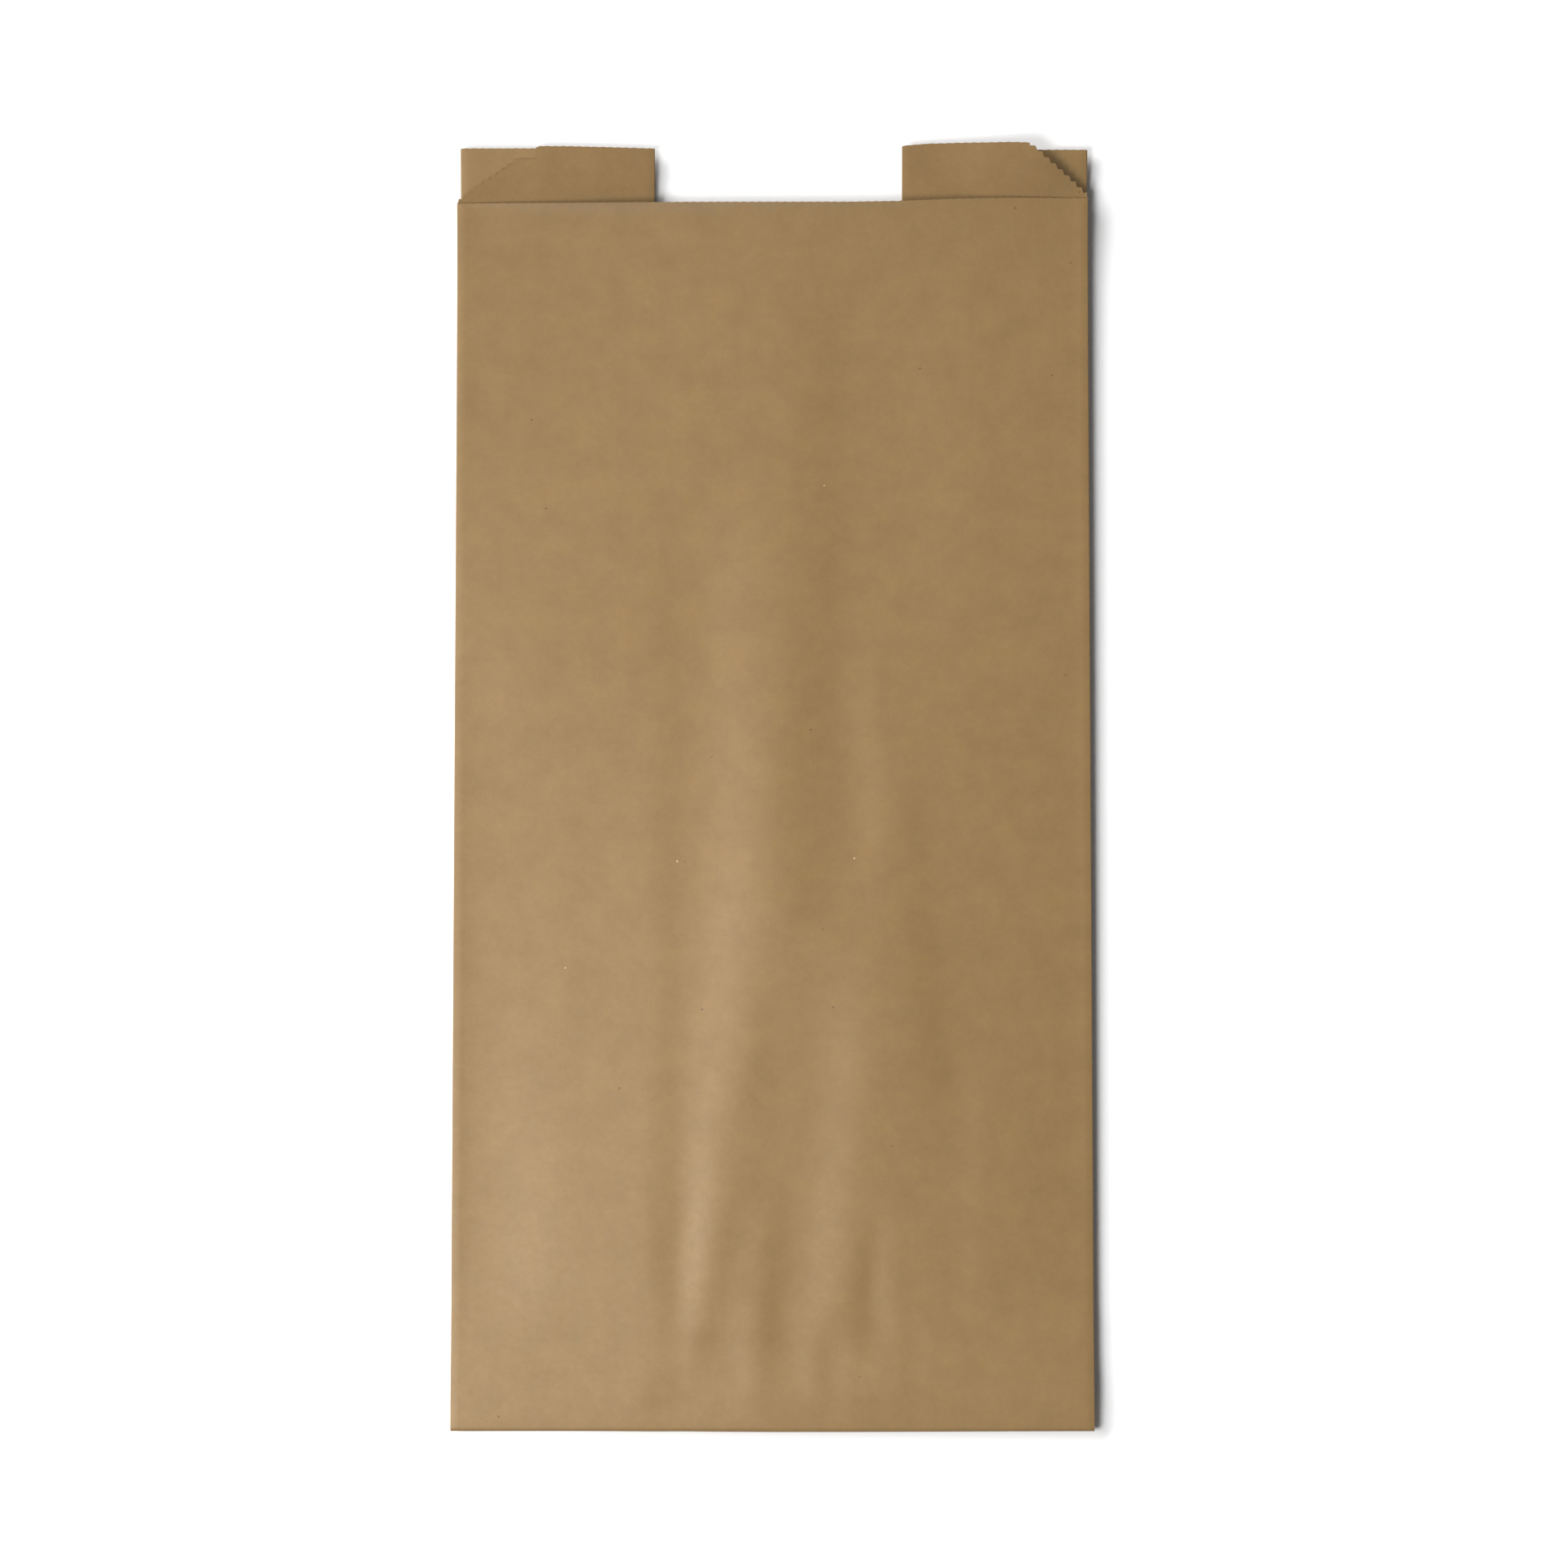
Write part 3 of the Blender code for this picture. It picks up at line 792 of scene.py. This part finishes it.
class BAG_OT_window_film(bpy.types.Operator):
    """Make the clear film strip of the window"""

    bl_idname = "bag.window_film"
    bl_label = "Window film"

    def execute(self, context):
        scene = context.scene
        bag = Bag(scene.bag_sizes, scene.bag_lie)
        columns = even_steps(-bag.film_half, bag.film_half, FILM_CELL)
        low = bag.lip_v - bag.blank
        rows = joined(
            even_steps(low, -END_TURN, FILM_CELL), steps(-END_TURN, 0, END_STEPS),
            even_steps(0, bag.lip_v, FILM_CELL),
        )
        obj = add_blank("clear_window_film", columns, rows)
        keep_sheet_place(obj)
        co = points_of(obj.data)
        set_points(obj.data, bag.film_place(co[:, 0], co[:, 1]))
        obj.data.materials.append(clear_film(scene.bag_finish))
        apply_thickness(obj, bag.sizes.film)
        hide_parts("window_film")
        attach(obj, "root")
        return {"FINISHED"}


# Patterns in the paper: sizes in millimetres of sheet, strengths as shares of the colour
CLOUD_SIZE = 13
DRIFT_SIZE = 7
WARM_DRIFT = (0.015, -0.005, -0.04)  # in red, green and blue; the cooler pulp is its opposite
FIBRES = (  # stretch, size and strength of the fibres along and across the web
    ((1, 0.25, 1), 0.5, 0.02),
    ((0.3, 1, 1), 0.6, 0.015),
)
SHIVE_SPACING, SHIVE_RADIUS = 19, 0.35
BARK_SPACING, BARK_RADIUS = 14, 0.42
SPECK_CORE = 0.6  # share of a speck's radius that has its full colour
GRAIN_SIZE = 0.8
COCKLE_SIZE = 6
SHEEN_SIZE = 2.5
GLAZED_ROUGHNESS = (0.5, 0.56)
FUZZ_SIZE = 0.5
DRAW_LINE_SIZE = 3

# The part of a noise's range that a pattern is spread over: nearly all of it, or its middle
WIDE_RANGE = (0.3, 0.7)
NARROW_RANGE = (0.35, 0.65)


def add_node(tree, kind, inputs=(), **settings):
    """Adds a node, sets its properties, and gives its inputs their constants or links."""
    node = tree.nodes.new(kind)
    for name, value in settings.items():
        setattr(node, name, value)
    set_inputs(tree, node, inputs)
    return node


def set_inputs(tree, node, inputs):
    """Each input is named or numbered; another node's socket is linked to it, a constant set."""
    for key, value in inputs:
        if isinstance(value, bpy.types.NodeSocket):
            tree.links.new(value, node.inputs[key])
        else:
            node.inputs[key].default_value = value


def new_material(name):
    material = bpy.data.materials.new(name)
    material.use_nodes = True
    return material, material.node_tree, material.node_tree.nodes["Principled BSDF"]


def sheet_place(tree, stretch=(1, 1, 1)):
    """The place in the flat sheet, in millimetres, stretched for patterns that run one way."""
    place = add_node(tree, "ShaderNodeAttribute", attribute_name="sheet_place").outputs["Vector"]
    scale = [s / MM for s in stretch]
    node = add_node(tree, "ShaderNodeVectorMath", ((0, place), (1, scale)), operation="MULTIPLY")
    return node.outputs["Vector"]


def noise(tree, place, size_mm, detail=3, rough=0.55):
    """Noise whose grain is size_mm across."""
    return add_node(tree, "ShaderNodeTexNoise", (
        ("Vector", place), ("Scale", 1 / size_mm), ("Detail", detail), ("Roughness", rough),
    )).outputs["Fac"]


def remap(tree, value, low, high, to_low=0.0, to_high=1.0):
    return add_node(tree, "ShaderNodeMapRange", (
        ("Value", value), ("From Min", low), ("From Max", high), ("To Min", to_low),
        ("To Max", to_high),
    )).outputs["Result"]


def opaque(value):
    """A colour as a node's input takes it; a socket stays as it is."""
    return value if isinstance(value, bpy.types.NodeSocket) else (*value[:3], 1)


def blend_colour(tree, share, first, second):
    inputs = ((0, share), (6, opaque(first)), (7, opaque(second)))
    return add_node(tree, "ShaderNodeMix", inputs, data_type="RGBA").outputs[2]


def scaled_colour(tree, value, shade):
    """A colour times a factor; both are sockets."""
    inputs = ((0, value), ("Scale", shade))
    return add_node(tree, "ShaderNodeVectorMath", inputs, operation="SCALE").outputs[0]


def specks(tree, place, spacing_mm, radius_mm):
    """Small round spots, far apart: 1 inside a spot."""
    spot = add_node(tree, "ShaderNodeTexVoronoi", (("Vector", place), ("Scale", 1 / spacing_mm)))
    edge = radius_mm / spacing_mm
    return remap(tree, spot.outputs["Distance"], edge * SPECK_CORE, edge, 1, 0)


def kraft_colour(tree, finish, base):
    """Cloudy pulp that drifts between warm and cool, fine fibres, bark specks and pale flecks."""
    place = sheet_place(tree)
    warm, cool = (
        [part * (1 + way * off) for part, off in zip(base, WARM_DRIFT)] for way in (1, -1)
    )
    drift = remap(tree, noise(tree, place, DRIFT_SIZE, detail=4, rough=0.7), *NARROW_RANGE)
    made = blend_colour(tree, drift, warm, cool)
    clouds = noise(tree, place, CLOUD_SIZE, detail=6, rough=0.8)
    shade = remap(tree, clouds, *WIDE_RANGE, 1 - finish.mottle, 1 + finish.mottle)
    made = scaled_colour(tree, made, shade)
    for stretch, size, strength in FIBRES:
        fibres = noise(tree, sheet_place(tree, stretch), size, detail=2)
        shade = remap(tree, fibres, *WIDE_RANGE, 1 - strength, 1 + strength)
        made = scaled_colour(tree, made, shade)
    shives = specks(tree, place, SHIVE_SPACING, SHIVE_RADIUS)
    made = blend_colour(tree, shives, made, finish.shive)
    return blend_colour(tree, specks(tree, place, BARK_SPACING, BARK_RADIUS), made, finish.bark)


def bump(tree, height, depth_mm, strength=1.0, under=None):
    inputs = [("Height", height), ("Strength", strength), ("Distance", depth_mm * MM)]
    if under:
        inputs.append(("Normal", under))
    return add_node(tree, "ShaderNodeBump", inputs).outputs["Normal"]


def paper_bump(tree, grain_mm, cockle_mm):
    """Fibre relief, far finer than the paper is thick, on a slight cockle of the sheet."""
    grain = noise(tree, sheet_place(tree, (1, 0.5, 1)), GRAIN_SIZE, detail=4, rough=0.6)
    cockle = noise(tree, sheet_place(tree), COCKLE_SIZE)
    return bump(tree, grain, grain_mm, under=bump(tree, cockle, cockle_mm))


def glazed_kraft(finish):
    # Brown kraft dried against a polished cylinder: one side has a soft, broken sheen
    material, tree, shader = new_material("machine-glazed kraft paper, smooth side")
    sheen = noise(tree, sheet_place(tree), SHEEN_SIZE)
    set_inputs(tree, shader, (
        ("Base Color", kraft_colour(tree, finish, finish.kraft)),
        ("Roughness", remap(tree, sheen, *WIDE_RANGE, *GLAZED_ROUGHNESS)),
        ("Normal", paper_bump(tree, grain_mm=0.006, cockle_mm=0.04)),
        ("IOR", 1.5),
    ))
    return material


def rough_kraft(finish):
    # The felt side of the same web: matt, with the fibres raised
    material, tree, shader = new_material("machine-glazed kraft paper, rough side")
    set_inputs(tree, shader, (
        ("Base Color", kraft_colour(tree, finish, finish.rough_side)),
        ("Normal", paper_bump(tree, grain_mm=0.02, cockle_mm=0.05)),
        ("Roughness", 0.75),
        ("IOR", 1.45),
    ))
    return material


def cut_kraft_and_highlight(finish):
    # Fibre ends along the knife cut, quite matt; they are paler than the faces, partly from the
    # fibres' own tone and partly as a painted highlight where light catches the cut
    material, tree, shader = new_material("knife-cut kraft paper edge")
    fuzz_and_highlight = remap(tree, noise(tree, sheet_place(tree), FUZZ_SIZE), *NARROW_RANGE)
    set_inputs(tree, shader, (
        ("Base Color", blend_colour(tree, fuzz_and_highlight, finish.kraft, finish.cut_edge_and_highlight)),
        ("Roughness", 0.9),
    ))
    return material


def clear_film(finish):
    # Cast polypropylene: clear and glossy, with faint draw lines along the web
    material, tree, shader = new_material("cast polypropylene film")
    lines = noise(tree, sheet_place(tree, (1, 0.04, 1)), DRAW_LINE_SIZE, detail=2)
    set_inputs(tree, shader, (
        ("Base Color", opaque(finish.film)),
        ("Roughness", 0.12),
        ("IOR", 1.49),
        ("Alpha", 0.05),
        ("Normal", bump(tree, lines, depth_mm=0.05, strength=0.3)),
    ))
    return material


# The stage, in metres
FLOOR_SIZE = 1.1
FLOOR_DROP = 0.05 * MM
# The broad, low key lamp shades the ridges, and the small one near the mirror direction brings out
# the gloss. Each has its name, place, width and height, and power in watts, and faces the origin.
LAMPS = (
    ("key", (-2.9, 1.7, 1.7), (3.8, 1.8), 236),
    ("sheen", (-0.42, -0.3, 0.75), (0.4, 0.4), 7.0),
)
ROOM_LIGHT = 0.12  # what the white room gives matt surfaces, where 1 is white
CAMERA_BACK = 1.0
CAMERA_TILT = math.radians(3.3)
CAMERA_AIM_HEIGHT = 3 * MM
PHOTO_SIZE = 1920
SENSOR = 36.0


def white_floor():
    # Card without a gloss, so that it shows the bag's shadow and no reflection
    material, tree, shader = new_material("matt white card")
    set_inputs(tree, shader, (
        ("Base Color", opaque(linear("#FDFDFD"))),
        ("Roughness", 0.9),
        ("Specular IOR Level", 0.0),
    ))
    return material


def add_floor():
    deselect_objects()
    bpy.ops.mesh.primitive_plane_add(size=FLOOR_SIZE, location=(0, 0, -FLOOR_DROP))
    floor = bpy.context.object
    floor.name = "floor"
    floor.data.materials.append(white_floor())


def add_lamp(name, place, size, power):
    deselect_objects()
    bpy.ops.object.light_add(type="AREA", location=place)
    lamp = bpy.context.object
    lamp.name = name
    lamp.data.shape = "RECTANGLE"
    lamp.data.size, lamp.data.size_y = size
    lamp.data.energy = power
    lamp.rotation_euler = (-Vector(place)).to_track_quat("-Z", "Y").to_euler()


def either(tree, first, second):
    """1 where one of two switches is on."""
    inputs = ((0, first), (1, second))
    return add_node(tree, "ShaderNodeMath", inputs, operation="MAXIMUM").outputs[0]


def white_world():
    """White to the camera, through the film and in the gloss; a dim even light on the rest."""
    world = bpy.data.worlds.new("white room")
    bpy.context.scene.world = world
    world.use_nodes = True
    tree = world.node_tree
    path = add_node(tree, "ShaderNodeLightPath").outputs
    behind = either(tree, path["Is Transmission Ray"], path["Is Glossy Ray"])
    seen = either(tree, path["Is Camera Ray"], behind)
    set_inputs(tree, tree.nodes["Background"], (
        ("Color", (1, 1, 1, 1)), ("Strength", remap(tree, seen, 0, 1, ROOM_LIGHT, 1)),
    ))


def add_camera(bag):
    """Looks down on the bag, a little from its closed end, as the photograph does."""
    across_px = mix(PHOTO_END_WIDTH, PHOTO_MOUTH_WIDTH, 0.5)
    face_length = bag.sizes.bag_length - bag.sizes.lip
    face_middle = Vector((0, PAPER_LOW.y + face_length / 2, CAMERA_AIM_HEIGHT))
    back = Vector((0, -math.sin(CAMERA_TILT), math.cos(CAMERA_TILT)))
    per_px = bag.sizes.width / across_px
    deselect_objects()
    bpy.ops.object.camera_add()
    camera = bpy.context.object
    camera.name = "camera"
    aside = (PHOTO_SIZE / 2 - PHOTO_MIDDLE) * per_px
    up = (PHOTO_FACE_MIDDLE - PHOTO_SIZE / 2) * per_px
    camera.rotation_euler = (-back).to_track_quat("-Z", "Y").to_euler()
    shift = camera.rotation_euler.to_matrix() @ Vector((aside, up, 0))
    camera.location = face_middle + back * CAMERA_BACK + shift
    camera.data.lens = SENSOR * CAMERA_BACK / (per_px * PHOTO_SIZE)
    camera.data.sensor_width = SENSOR
    bpy.context.scene.camera = camera


class BAG_OT_stage(bpy.types.Operator):
    """Make the floor, the lamps, the white room and the camera"""

    bl_idname = "bag.stage"
    bl_label = "Stage"

    def execute(self, context):
        bag = Bag(context.scene.bag_sizes, context.scene.bag_lie)
        add_floor()
        for lamp in LAMPS:
            add_lamp(*lamp)
        white_world()
        add_camera(bag)
        context.scene.view_settings.view_transform = "Standard"
        return {"FINISHED"}


class BAG_PT_panel(bpy.types.Panel):
    bl_idname = "BAG_PT_panel"
    bl_label = "Bread bag"
    bl_space_type = "VIEW_3D"
    bl_region_type = "UI"
    bl_category = "Bread bag"

    def draw(self, context):
        layout = self.layout
        for group in (context.scene.bag_sizes, context.scene.bag_lie, context.scene.bag_finish):
            box = layout.box()
            for name in group.bl_rna.properties.keys():
                if name not in ("rna_type", "name"):
                    box.prop(group, name)
        for operator in OPERATORS:
            layout.operator(operator.bl_idname)


GROUPS = (BagSizes, BagLie, BagFinish)
OPERATORS = (BAG_OT_kraft_sheet, BAG_OT_window_film, BAG_OT_stage)


def register():
    for made in (*GROUPS, *OPERATORS, BAG_PT_panel):
        bpy.utils.register_class(made)
    bpy.types.Scene.bag_sizes = bpy.props.PointerProperty(type=BagSizes)
    bpy.types.Scene.bag_lie = bpy.props.PointerProperty(type=BagLie)
    bpy.types.Scene.bag_finish = bpy.props.PointerProperty(type=BagFinish)


def unregister():
    del bpy.types.Scene.bag_finish
    del bpy.types.Scene.bag_lie
    del bpy.types.Scene.bag_sizes
    for made in reversed((*GROUPS, *OPERATORS, BAG_PT_panel)):
        bpy.utils.unregister_class(made)


def main():
    register()
    bpy.ops.bag.kraft_sheet()
    bpy.ops.bag.window_film()
    bpy.ops.bag.stage()


if __name__ == "__main__":
    main()
